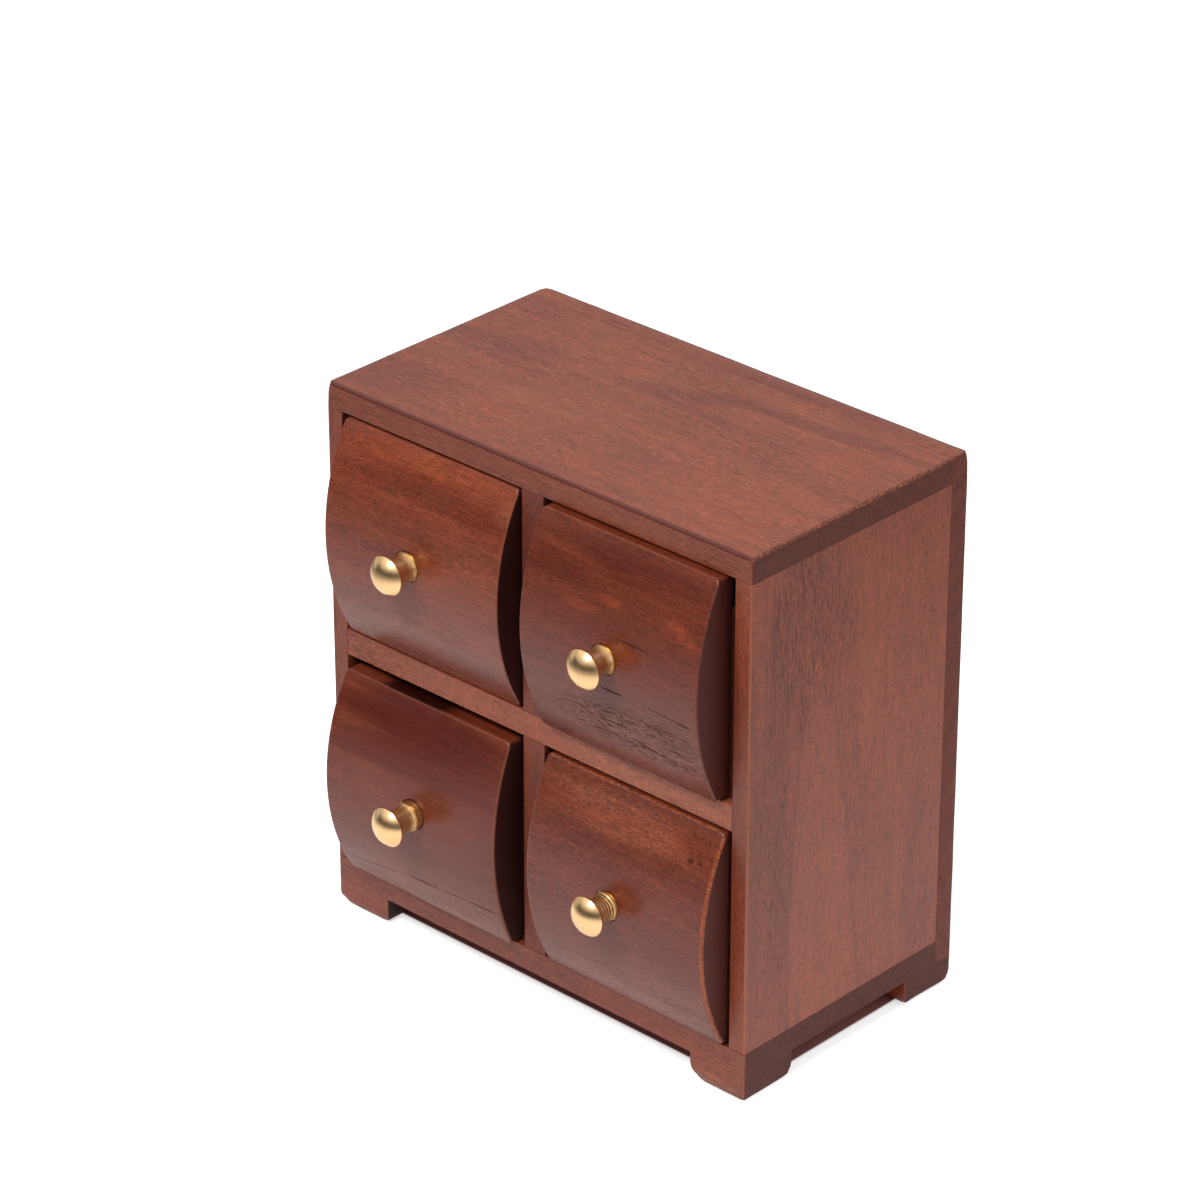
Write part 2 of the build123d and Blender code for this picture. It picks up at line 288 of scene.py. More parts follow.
def archFigure(tree, place, arch, wander):
    # one cathedral arch of a flat-sawn board: how far inside it a place lies, and its dark outline
    below = calc(tree, "MAXIMUM", calc(tree, "SUBTRACT", arch["apex"][1], place[2]), 0.0)
    half = calc(tree, "MULTIPLY", calc(tree, "POWER", below, arch["power"]), arch["spread"])
    middle = calc(tree, "MULTIPLY_ADD", below, arch["lean"], arch["apex"][0])
    off = calc(tree, "ABSOLUTE", calc(tree, "SUBTRACT", place[1], middle))
    depth = calc(tree, "SUBTRACT", half, off)
    depth = calc(tree, "MULTIPLY_ADD", calc(tree, "SUBTRACT", wander, 0.5), arch["wander"], depth)
    started = fade(tree, below, 0.0, arch["start"])
    inside = calc(tree, "MULTIPLY", fade(tree, depth, *arch["rim"]), started)
    outer = fade(tree, depth, -arch["width"], 0.0)
    inner = fade(tree, depth, 0.0, arch["innerWidth"], 1.0, 0.0)
    return inside, calc(tree, "MULTIPLY", calc(tree, "MULTIPLY", outer, inner), started)


def edgeCover(tree, normal, place, edge, seed):
    # 1 along the arris that faces the given way, broken up in specks: worn spots on most edges, painted glints
    # on the top's right edge
    cover = facing(tree, normal, Vector(edge["towards"]).normalized(), edge["reach"])
    if "specks" in edge:
        chips = grainNoise(tree, list(place), (edge["speck"],) * 3, seed + woodMake["speckSeed"])
        steps = [step - edge["specks"] * drop for step, drop in woodMake["speckSteps"]]
        cover = calc(tree, "MULTIPLY", cover, fade(tree, chips, *steps))
    return calc(tree, "MULTIPLY", cover, edge["strength"])


def woodMaterial(name, look, colours=stain):
    look = plainWood | look
    material, tree = newMaterial(name)
    place, normal = caseMillimetres(tree)
    axes = [place["XYZ".index(letter)] for letter in look["grain"]]
    inputs = dict(zip(("Along", "Across", "Depth"), axes))
    inputs |= {key: look[key] for key in figureInputs if key in look}
    part = addNode(tree, "Group", inputs, node_tree=figureGroup).outputs

    def swings(start, keys):
        for key in keys:
            swing = calc(tree, "SUBTRACT", part[key], 0.5)
            start = calc(tree, "MULTIPLY_ADD", swing, look[key.lower()], start)
        return start

    # the broad figure sets the share of light wood
    share = swings(look["tone"], ("Streak", "RingTint", "Blotch"))
    share = calc(tree, "MULTIPLY_ADD", part["Late"], -look["late"], share)
    pores = calc(tree, "MULTIPLY_ADD", part["Patches"], woodMake["porePatches"], 1 - woodMake["porePatches"])
    if "poreZones" in look:
        pores = look["poresElsewhere"]
        for zone in look["poreZones"]:
            dense = calc(tree, "MULTIPLY", spot(tree, place, zone, part["Streak"]), zone["strength"])
            pores = calc(tree, "MAXIMUM", pores, dense)
    if "arch" in look:
        arch = look["arch"]
        inside, line = archFigure(tree, place, arch, part["Streak"])
        share = calc(tree, "MULTIPLY_ADD", inside, arch["lighter"], share)
        share = calc(tree, "MULTIPLY_ADD", line, -arch["line"], share)
        pores = calc(tree, "MULTIPLY", pores, calc(tree, "MULTIPLY_ADD", inside, -arch["fewerPores"], 1.0))
    share = calc(tree, "MAXIMUM", calc(tree, "MINIMUM", share, 1.0), 0.0)
    colour = blendColour(tree, share, colours["dark"], colours["light"])

    sunk = 0.0                              # cracks, matt and a little under the surface

    def stained(under, marks):
        nonlocal sunk
        for mark in marks:
            cover = calc(tree, "MULTIPLY", spot(tree, place, mark, part["Streak"]), mark["strength"])
            if "facing" in mark:
                onFace = facing(tree, normal, mark["facing"], woodMake["faceReach"])
                cover = calc(tree, "MULTIPLY", cover, onFace)
            if "sunk" in mark:
                sunk = calc(tree, "MAXIMUM", sunk, cover)
            under = blendColour(tree, cover, under, colours[mark["colour"]])
        return under

    colour = stained(colour, look["marks"])

    # the fine figure shades whatever lies under it
    shading = calc(tree, "MAXIMUM", swings(1.0, ("Fibre", "Mottle", "Grit")), woodMake["leastShade"])
    colour = scaled(tree, colour, shading)
    pores = calc(tree, "MULTIPLY", calc(tree, "MULTIPLY", part["Pores"], pores), look["pores"])
    colour = blendColour(tree, pores, colour, colours["pore"])
    if "flecks" in look:
        flecks = calc(tree, "MULTIPLY", part["Flecks"], look["flecks"])
        colour = blendColour(tree, flecks, colour, colours["paleAndPaintedSheen"])

    # end grain drinks more stain and shows the rings
    endOn = addNode(tree, "SeparateXYZ", {0: normal}).outputs["XYZ".index(look["grain"][0])]
    endCover = fade(tree, calc(tree, "ABSOLUTE", endOn), *woodMake["endReach"])
    endShare = calc(tree, "MULTIPLY", part["Grit"], woodMake["endGrit"])
    endShare = calc(tree, "MULTIPLY_ADD", part["Late"], -woodMake["endRings"], endShare, clamp=True)
    endShare = calc(tree, "MULTIPLY", endShare, look["endLight"])
    endColour = blendColour(tree, endShare, colours["endGrain"], colours["dark"])
    endColour = scaled(tree, endColour, shading)
    # painted shade: the ends that face the next drawer are darkened, as they lie in the shadow of the gap
    # between fronts
    if "shadedFarEnd" in look:
        farShade = fade(tree, endOn, *woodMake["endReach"])
        endColour = blendColour(tree, farShade, endColour, colours[look["shadedFarEnd"]])
    colour = blendColour(tree, endCover, colour, endColour)
    colour = stained(colour, look["endMarks"])

    for edge in look["edges"]:
        cover = edgeCover(tree, normal, place, edge, look["Seed"])
        colour = blendColour(tree, cover, colour, colours[edge["colour"]])

    rough = calc(tree, "MULTIPLY_ADD", part["Fibre"], gloss["fibre"], look["roughness"] - gloss["fibre"] / 2)
    rough = calc(tree, "MULTIPLY_ADD", pores, gloss["pores"], rough)
    rough = calc(tree, "MULTIPLY_ADD", sunk, gloss["sunk"], rough)
    rough = calc(tree, "MULTIPLY_ADD", endCover, gloss["endGrain"], rough, clamp=True)
    height = calc(tree, "MULTIPLY", part["Fibre"], woodMake["bumpFibre"])
    height = calc(tree, "MULTIPLY_ADD", part["Grit"], woodMake["bumpGrit"], height)
    height = calc(tree, "SUBTRACT", height, calc(tree, "MAXIMUM", pores, sunk))
    relief = {"Strength": look["relief"], "Distance": woodMake["bumpDepth"], "Height": height}
    inputs = {
        "Base Color": colour, "Roughness": rough, "Normal": addNode(tree, "Bump", relief).outputs[0],
        "IOR": look["ior"], "Specular Tint": look["sheen"],
    }
    setSurface(tree, addNode(tree, "BsdfPrincipled", inputs).outputs[0])
    return material


# Boards of the case: a fine grid box, its edges rounded one by one and a little unevenly, as sanded by hand

boardMake = {
    "slot": "case_wood",
    "softEdge": 0.3 * mm,                   # arrises that nobody rounded on purpose
    "cell": 7 * mm,
    "softSteps": (0.0, 0.3, 0.65, 1.0, 1.3),                    # grid lines, as shares of the soft edge
    "roundSteps": (0.45, 0.6, 0.75, 0.9, 1.05, 1.7, 2.6),       # and of a larger rounding
    "room": 0.95,                           # share of a board that its roundings' lines may fill
    "wear": 0.22,                           # how much a rounding varies along its edge
    "wearLength": 11 * mm,
    "wearStep": Vector((0.37, 0.11, 0.73)),  # sets each edge's wear apart from the next
    "wornLength": 7 * mm,                   # the last of an edge, where its first radius grows to its second
    "sides": (("left", "right"), ("front", "back"), ("bottom", "top")),
}
bothEnds = ((0, 0), (0, 1), (1, 0), (1, 1))  # low and high ends of two axes


def otherAxes(axis):
    return [other for other in range(3) if other != axis]


def stations(low, high, lowRound, highRound):
    # where the grid lines lie along one axis, close together at the rounded ends
    soft = boardMake["softEdge"]
    lowRound, highRound = max(lowRound, soft), max(highRound, soft)

    def near(reach):
        room = (high - low) * boardMake["room"] * reach / (lowRound + highRound)
        steps = {share * soft for share in boardMake["softSteps"]}
        if reach > soft:
            steps |= {share * reach * (1 + boardMake["wear"]) for share in boardMake["roundSteps"]}
        return sorted(step for step in steps if step < room)

    first, last = near(lowRound), near(highRound)
    inner = high - last[-1] - low - first[-1]
    count = max(1, round(inner / boardMake["cell"]))
    middle = [low + first[-1] + inner * step / count for step in range(1, count)]
    return [low + step for step in first] + middle + [high - step for step in reversed(last)]


def roundEdge(point, low, high, along, ends, radius):
    # the square corner between two faces becomes an arc
    sides = list(zip(otherAxes(along), ends))
    offs = [high[axis] - point[axis] if end else point[axis] - low[axis] for axis, end in sides]
    if max(offs) >= radius:
        return
    a, b = [1 - off / radius for off in offs]
    reach = math.hypot(a, b)
    if reach < 1e-9:
        return
    grow = max(a, b) / reach
    for (axis, end), value in zip(sides, (a * grow, b * grow)):
        gap = radius * (1 - value)
        point[axis] = high[axis] - gap if end else low[axis] + gap


def makeBoard(node, material, rounds=None, limits=None):
    # a pair of radii is a rounding that grows towards the high end of its edge
    rounds = rounds or {}
    low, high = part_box(node)
    if limits:
        low.x, high.x = limits

    def edgeRadii(along, ends):
        names = [boardMake["sides"][axis][end] for axis, end in zip(otherAxes(along), ends)]
        radii = rounds.get(" ".join(names), boardMake["softEdge"])
        return radii if isinstance(radii, tuple) else (radii, radii)

    lines = []
    for axis in range(3):
        reach = [0.0, 0.0]
        for along in otherAxes(axis):
            which = otherAxes(along).index(axis)
            for ends in bothEnds:
                reach[ends[which]] = max(reach[ends[which]], *edgeRadii(along, ends))
        lines.append(stations(low[axis], high[axis], *reach))

    mesh = bmesh.new()
    made = {}

    def corner(index):
        if index not in made:
            point = Vector([line[place] for line, place in zip(lines, index)])
            for along in (2, 0, 1):
                for ends in bothEnds:
                    first, second = edgeRadii(along, ends)
                    share = max(0.0, 1 - (high[along] - point[along]) / boardMake["wornLength"])
                    radius = first + (second - first) * share ** 2
                    wearPlace = boardMake["wearStep"] * (ends[0] + 2 * ends[1] + 5 * along)
                    wearPlace[along] += point[along] / boardMake["wearLength"]
                    radius *= 1 + boardMake["wear"] * noise.noise(wearPlace)
                    roundEdge(point, low, high, along, ends, radius)
            made[index] = mesh.verts.new(point)
        return made[index]

    last = [len(line) - 1 for line in lines]
    for axis in range(3):
        i, j = otherAxes(axis)
        for end in (0, last[axis]):
            for u in range(last[i]):
                for v in range(last[j]):
                    ring = []
                    for du, dv in ((0, 0), (1, 0), (1, 1), (0, 1)):
                        index = [0, 0, 0]
                        index[axis], index[i], index[j] = end, u + du, v + dv
                        ring.append(corner(tuple(index)))
                    mesh.faces.new(ring)
    bmesh.ops.recalc_face_normals(mesh, faces=mesh.faces)
    for face in mesh.faces:
        face.smooth = True
    data = bpy.data.meshes.new(node + "_shown")
    mesh.to_mesh(data)
    mesh.free()
    piece = bpy.data.objects.new(node + "_shown", data)
    bpy.context.scene.collection.objects.link(piece)
    piece.data.materials.append(material)
    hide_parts(node)
    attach(piece, bodyOf[node])


cornerRound, rimRound, wornRound, seam = 0.8 * mm, 1.2 * mm, 4.0 * mm, 0.04 * mm

topBoard = {
    "rounds": {
        "front top": rimRound, "left top": rimRound, "right top": rimRound,
        "left front": (cornerRound, 3.2 * mm), "right front": (cornerRound, 1.4 * mm),
    },
    "look": {
        "grain": "XYZ", "Seed": 3.1, "PithAcross": 20.0, "PithDepth": 140.0, "Taper": 0.03, "Spacing": 7.0,
        "Warp": 5.0, "tone": 0.42, "flecks": 0.45, "pores": 0.36, "endLight": 0.9,
        "marks": [
            patch("XY", (94, 74.5), (34, 6), "dark", 0.75, tilt=17),
            patch("XY", (148, 85), (42, 5), "dark", 0.8, tilt=6),
            patch("XY", (22, 62), (34, 12), "dark", 0.65, tilt=12),
            patch("XY", (12, 95), (30, 9), "dark", 0.4),
            patch("XY", (8, 14), (26, 14), "dark", 0.4),
            patch("XY", (62, 38), (40, 9), "paleAndPaintedSheen", 0.16, tilt=5),
            patch("XY", (165, 25), (45, 35), "light", 0.4),
            patch("XY", (93.3, 14.1), (2.4, 0.8), "pore", 0.6),
        ],
        "edges": [
            arris((0, -1, 1), "darkEdge", 0.9, (0.74, 0.88)),
            arris((1, 0, 1), "darkEdge", 0.85, (0.74, 0.88)),
            # painted glints: pale specks along the right edge of the top
            arris((1, 0, 1), "wornEdgeAndPaintedGlint", 0.6, specks=0.35, speck=0.5),
            arris((-1, 0, 1), "darkEdge", 0.5),
            arris((0, -1, -1), "darkEdge", 0.5),
        ],
    },
}
makeBoard("top_board", woodMaterial("topWood", topBoard["look"]), topBoard["rounds"])

filledHole = {"size": (0.9, 1.2), "colour": "pore", "strength": 0.7, "ragged": 0.3}  # over a punched brad
backPanel = {
    "rounds": {
        "back top": rimRound, "left top": rimRound, "right top": rimRound,
        "left back": (wornRound, 5.5 * mm), "right back": (cornerRound, 3.2 * mm),
    },
    "look": {
        "grain": "XZY", "Seed": 11.7, "PithAcross": 60.0, "PithDepth": 160.0, "Taper": 0.03, "Spacing": 8.0,
        "tone": 0.45, "endLight": 1.9,
        "marks": [
            patch("XZ", hole, facing=(0, 1, 0), **filledHole)
            for hole in (
                (49.2, 14.5), (140.8, 14.5), (49.2, 197.4), (140.8, 197.4),
                (3.5, 60.0), (186.5, 60.0), (3.5, 151.8), (186.5, 151.8),
            )
        ],
        "edges": [arris((1, 0, 1), "darkEdge", 0.6), arris((0, 1, 1), "darkEdge", 0.5)],
    },
}
makeBoard("back_panel", woodMaterial("backWood", backPanel["look"]), backPanel["rounds"])

# base and feet are cut from one kind of plank, and stained as one piece
rearFootFace = (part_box("rear_right_foot")[0].y - caseCorner.y) / mm  # its front face is painted bright, standing in for light reaching it
baseBoard = {
    "rounds": {
        "left front": cornerRound, "right front": cornerRound,
        "front bottom": seam, "back bottom": seam, "left bottom": seam, "right bottom": seam,
    },
    "look": {
        "grain": "XZY", "Seed": 21.4, "PithAcross": -34.0, "PithDepth": -22.0, "Taper": 0.02, "Spacing": 6.0,
        "tone": 0.46, "endLight": 0.2, "mottle": 1.0,
        "marks": [
            patch("XZ", (176, 3), (18, 4), "paleAndPaintedSheen", 0.4, tilt=-8),
            patch("XZ", (95, 12), (62, 7), "dark", 0.4),
            # painted light: the rear right foot's front face, deep under the case, is painted bright orange as
            # if lit from the front
            patch("YZ", (rearFootFace, 4), (4, 12), "emberAndPaintedLight", 0.8, facing=(0, -1, 0)),
        ],
        "endMarks": [                       # painted shade on the inner ends of the left feet, in the shadow under the case
            patch("XZ", (24, 4), (4, 14), "crackAndShade", 0.8, facing=(1, 0, 0), core=0.8, ragged=0.2),
        ],
        "edges": [arris((0, -1, 1), "darkEdge", 0.5), arris((1, -1, 0), "paleAndPaintedSheen", 0.35)],
    },
}
feet = {                                    # roundings under each foot, worn by hand to different depths
    "front_left": {"left": 4.8 * mm, "right": 3.0 * mm, "front": 2.4 * mm, "back": 3.0 * mm},
    "front_right": {"left": 6.5 * mm, "right": 2.4 * mm, "front": 2.2 * mm, "back": 5.8 * mm},
    "rear_left": {"left": 4.0 * mm, "right": 3.4 * mm, "front": 3.0 * mm, "back": 3.6 * mm},
    "rear_right": {"left": 3.4 * mm, "right": 2.4 * mm, "front": 3.0 * mm, "back": 5.2 * mm},
}
footCorners = {                             # the upright corner of each that lies at a corner of the case
    "front_left": {"left front": cornerRound}, "front_right": {"right front": cornerRound},
    "rear_left": {"left back": wornRound}, "rear_right": {"right back": cornerRound},
}
baseWood = woodMaterial("baseWood", baseBoard["look"])
makeBoard("base_board", baseWood, baseBoard["rounds"])
for foot, under in feet.items():
    rounds = {edge + " bottom": reach for edge, reach in under.items()}
    rounds |= {edge + " top": seam for edge in under}
    makeBoard(foot + "_foot", baseWood, rounds | footCorners[foot])

rightSide = {
    "rounds": {"right front": cornerRound},
    "look": {
        "grain": "ZYX", "Seed": 5.2, "PithAcross": 36.0, "PithDepth": 158.0, "Taper": 0.05, "Spacing": 7.0,
        "Phase": 0.4, "Warp": 2.0, "tone": 0.58, "late": 0.06, "streak": 0.6,
        "pores": 0.6, "poresElsewhere": 0.2,
        "arch": {
            "apex": (33.2, 139.5), "power": 0.36, "spread": 3.15, "lean": 0.045, "wander": 3.5, "start": 4.0,
            "rim": (-0.2, 1.0), "width": 3.0, "innerWidth": 0.6, "lighter": 0.10, "line": 0.2,
            "fewerPores": 0.85,
        },
        "poreZones": [
            patch("YZ", (28, 166), (30, 42), core=0.5),
            patch("YZ", (12, 90), (13, 95), strength=0.7),
            patch("YZ", (52, 108), (6, 40), strength=0.55, tilt=4),
        ],
        "marks": [
            patch("YZ", (17.0, 106.1), (1.2, 2.0), "pore", 0.8, ragged=0.3),
            patch("YZ", (66.0, 123.8), (1.1, 1.4), "pore", 0.7, ragged=0.3),
            patch("YZ", (57.0, 115.0), (0.8, 1.2), "pore", 0.5, ragged=0.3),
            patch("YZ", (8, 100), (16, 110), "dark", 0.4),
            patch("YZ", (72, 140), (55, 75), "light", 0.45),
            # painted shade: the right stile's front face is darkened beside the drawer ends
            patch("XZ", (183, 130), (4, 60), "deepAndPaintedShade", 0.45, facing=(0, -1, 0)),
        ],
        "edges": [arris((1, -1, 0), "paleAndPaintedSheen", 0.6), arris((-1, -1, 0), "darkEdge", 0.6)],
    },
}
leftSide = {
    "rounds": {"left front": cornerRound},
    "look": {
        "grain": "ZYX", "Seed": 8.9, "PithAcross": 70.0, "PithDepth": 40.0, "Taper": -0.05, "Spacing": 7.0,
        "Warp": 3.0, "tone": 0.5,
        "marks": [
            patch("YZ", hole, facing=(-1, 0, 0), **filledHole) for hole in ((17.0, 105.9), (80.8, 105.9))
        ],
        "edges": [arris((1, -1, 0), "darkEdge", 0.6)],
    },
}
makeBoard("right_side", woodMaterial("rightSideWood", rightSide["look"]), rightSide["rounds"])
makeBoard("left_side", woodMaterial("leftSideWood", leftSide["look"]), leftSide["rounds"])

shelf = {
    "look": {
        "grain": "XYZ", "Seed": 31.2, "PithAcross": -20.0, "PithDepth": 80.0, "Taper": 0.02, "Spacing": 5.0,
        "tone": 0.95, "mottle": 0.9,
        "marks": [patch("XY", (150, 0), (60, 60), "paleAndPaintedSheen", 0.45)],
        "edges": [arris((0, -1, 1), "darkEdge", 0.5), arris((0, -1, -1), "darkEdge", 0.6)],
    },
}
divider = {
    "look": {
        "grain": "ZYX", "Seed": 27.5, "PithAcross": -15.0, "PithDepth": 70.0, "Taper": 0.02, "Spacing": 5.0,
        "tone": 0.05, "roughness": 0.5,
        "edges": [arris((1, -1, 0), "darkEdge", 0.5), arris((-1, -1, 0), "darkEdge", 0.5)],
    },
}
innerFaces = (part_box("left_side")[1].x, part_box("right_side")[0].x)  # the shelf's housed ends aren't shown
makeBoard("shelf", woodMaterial("shelfWood", shelf["look"]), limits=innerFaces)
dividerWood = woodMaterial("dividerWood", divider["look"])
makeBoard("upper_divider", dividerWood)
makeBoard("lower_divider", dividerWood)
print("case boards shaped and stained")


# Drawer fronts keep their solids and take a wood of their own each

plainFront = {
    "grain": "XZY", "Spacing": 6.0, "roughness": 0.28, "sheen": (1, 0.89, 0.91, 1), "endLight": 0.0,
}
topRim = {"towards": (0, -0.5, 1), "reach": (0.93, 0.98)}
fronts = {
    "upper_left": {
        "Seed": 51.0, "PithAcross": 175.0, "PithDepth": 60.0, "Taper": 0.05, "tone": 0.44, "mottle": 0.9,
        "pores": 0.42, "shadedFarEnd": "paintedShadeEnd",
        "marks": [
            patch("XZ", (46, 189), (50, 7), "emberAndPaintedLight", 0.25),
            patch("XZ", (50, 180), (48, 6.5), "deepAndPaintedShade", 0.42),
            # painted highlight, with some wear: the rounded top right corner is paler where it catches the
            # light
            patch("XZ", (86, 184), (6, 5), "paleAndPaintedSheen", 0.22),
            # painted shade of the sheen: right of the knob the front is painted orange where the knob keeps the
            # floor's reflection off
            patch("XZ", (60, 156), (13, 5), "emberAndPaintedLight", 0.2),
            patch("XZ", (25, 153.6), (1.1, 6), "paleAndPaintedSheen", 0.25),
        ],
        "edges": [arris((1, -1, 0), "paleAndPaintedSheen", 0.3), arris(colour="deepAndPaintedShade", strength=0.5, **topRim)],
    },
    "upper_right": {
        "Seed": 55.0, "PithAcross": 150.0, "PithDepth": 40.0, "Taper": 0.06, "tone": 0.05, "late": 0.3,
        "pores": 1.0, "poresElsewhere": 0.2,
        "poreZones": [patch("XZ", (148, 128), (48, 15))],
        "marks": [
            patch("XZ", (140, 186), (48, 8), "deepAndPaintedShade", 0.7),
            patch("XZ", (120, 182), (18, 3), "light", 0.2, tilt=-4),
            patch("XZ", (140, 173), (7, 2.4), "emberAndPaintedLight", 0.45),
            patch("XZ", (171, 172), (11, 3.4), "emberAndPaintedLight", 0.45, tilt=-20),
            patch("XZ", (128, 168), (11, 2.6), "emberAndPaintedLight", 0.3),
            patch("XZ", (147, 158), (14, 5), "emberAndPaintedLight", 0.25),
            patch("XZ", (116, 178), (20, 6), "deepAndPaintedShade", 0.55),
            patch("XZ", (145, 122), (50, 15), "light", 0.35),
            crack((142.4, 142.6), (6.5, 0.6), 0.9),
            crack((164.5, 142.0), (13, 0.4), 0.6, tilt=-2),
            crack((173.0, 141.4), (4.5, 0.5), 0.85, tilt=-3),
            crack((151.2, 162.3), (7.5, 0.5), 0.85),
            crack((156.2, 124.6), (7, 0.55), 0.85, tilt=-9),
            crack((167.0, 123.0), (6.5, 0.4), 0.6, tilt=-5),
            crack((127.4, 131.1), (5, 0.45), 0.6, tilt=-3),
            crack((135.7, 124.0), (8, 0.45), 0.6, tilt=9),
            crack((140.6, 133.7), (4.6, 0.45), 0.6, tilt=5),
        ],
        "edges": [
            arris((1, -1, 0), "paleAndPaintedSheen", 0.1),
            arris(colour="emberAndPaintedLight", strength=0.35, specks=0.5, speck=2.5, **topRim),
        ],
    },
    "lower_left": {
        "Seed": 59.0, "PithAcross": 50.0, "PithDepth": 70.0, "Taper": 0.04, "Spacing": 7.0, "tone": 0.05,
        "pores": 0.35, "mottle": 0.5, "grit": 0.7, "fibre": 0.7, "shadedFarEnd": "paintedShadeEnd",
        "marks": [
            patch("XZ", (50, 90), (54, 11), "deepAndPaintedShade", 0.98, core=0.5),
            patch("XZ", (48, 77), (56, 10), "deepAndPaintedShade", 0.6),
            patch("XZ", (88, 60), (14, 40), "deepAndPaintedShade", 0.3),
            patch("XZ", (66, 76), (27, 2), "deepAndPaintedShade", 0.5, tilt=-3),
            patch("XY", (41.5, 0), (18.5, 34), "crackAndShade", 0.92, facing=(0, 0, 1), core=0.6, ragged=0.6),
            patch("XZ", (48, 26), (52, 15), "light", 0.3),
            crack((27, 28.7), (20, 0.45), 0.45, tilt=9),
            crack((50, 31.6), (10, 0.55), 0.85, tilt=2),
            crack((64, 32.2), (9, 0.45), 0.6, tilt=3),
            crack((78, 32.7), (10, 0.5), 0.8, tilt=1),
            patch("XZ", (45, 20.5), (44, 3.2), "paleAndPaintedSheen", 0.25, tilt=2),
        ],
        "edges": [arris((1, -1, 0), "paleAndPaintedSheen", 0.3)],
    },
    "lower_right": {
        "Seed": 63.0, "PithAcross": 40.0, "PithDepth": 50.0, "Taper": 0.05, "tone": 0.02,
        "mottle": 0.9, "grit": 2.0,
        "marks": [
            # dusty, and partly a painted sheen along the top of the front
            patch("XZ", (142, 91), (46, 10), "paleAndPaintedSheen", 0.4),
            patch("XZ", (171.5, 88.3), (1.7, 1.4), "pore", 0.7, ragged=0.5),
            patch("XZ", (175.3, 88.8), (1.5, 1.2), "pore", 0.7, ragged=0.5),
            patch("XZ", (135, 81), (40, 1.0), "deepAndPaintedShade", 0.45, tilt=-2),
            patch("XZ", (120, 70), (25, 0.9), "deepAndPaintedShade", 0.35, tilt=-2),
            patch("XZ", (142, 26), (52, 16), "light", 0.4),
        ],
        "edges": [
            arris((1, -1, 0), "emberAndPaintedLight", 0.3),
            arris((1, -1, 0), "wornEdgeAndPaintedGlint", 0.6, specks=0.6, speck=0.6),
            arris((-1, -1, 0), "wornEdgeAndPaintedGlint", 0.5, specks=0.5, speck=0.7),
            arris(colour="wornEdgeAndPaintedGlint", strength=0.6, specks=0.55, speck=0.7, **topRim),
        ],
    },
}
drawerBox = {
    "walls": {
        "grain": "YZX", "Seed": 71.0, "PithAcross": 60.0, "PithDepth": -60.0, "Spacing": 5.0,
        "tone": 0.5, "pores": 0.3,
    },
    "bottom": {
        "grain": "XYZ", "Seed": 77.0, "PithAcross": 30.0, "PithDepth": -90.0, "Spacing": 9.0,
        "tone": 0.65, "pores": 0.3,
    },
}
for name in drawers:
    dress("drawer_" + name + "_front", woodMaterial(name + "FrontWood", plainFront | fronts[name]))
wallWood = woodMaterial("drawerBoxWood", drawerBox["walls"], boxStain)
bottomWood = woodMaterial("drawerBottomWood", drawerBox["bottom"], boxStain)
for name in drawers:
    for wall in ("left_side", "right_side", "back"):
        dress("drawer_" + name + "_" + wall, wallWood)
    dress("drawer_" + name + "_bottom", bottomWood)
print("drawers stained")


# Brass knobs, polished on the head and left as turned on the stem, and steel fixings

cloudMake = {"size": (3, 3, 3), "seed": 1.0, "detail": 4.0, "relief": 0.35, "depth": 0.15 * mm}
steel = {"colour": (0.58, 0.57, 0.55, 1), "roughness": 0.35, "cloud": 0.14}
brass = {                                   # lengths in millimetres
    "colour": (0.93, 0.60, 0.30, 1), "stemColour": (0.70, 0.43, 0.19, 1), "roughness": 0.23, "cloud": 0.18,
    "headDepth": 4.4, "headFade": 1.2, "turnedRoughness": 0.36, "ringPitch": 1.1,
    "domeRadius": 8.8, "domeDepth": 3.4, "domeFade": 0.1,
}
ringDepths = {                              # how deep the lathe has left its rings on each stem
    "upper_left": 0.006 * mm, "upper_right": 0.006 * mm, "lower_left": 0.012 * mm, "lower_right": 0.045 * mm,
}


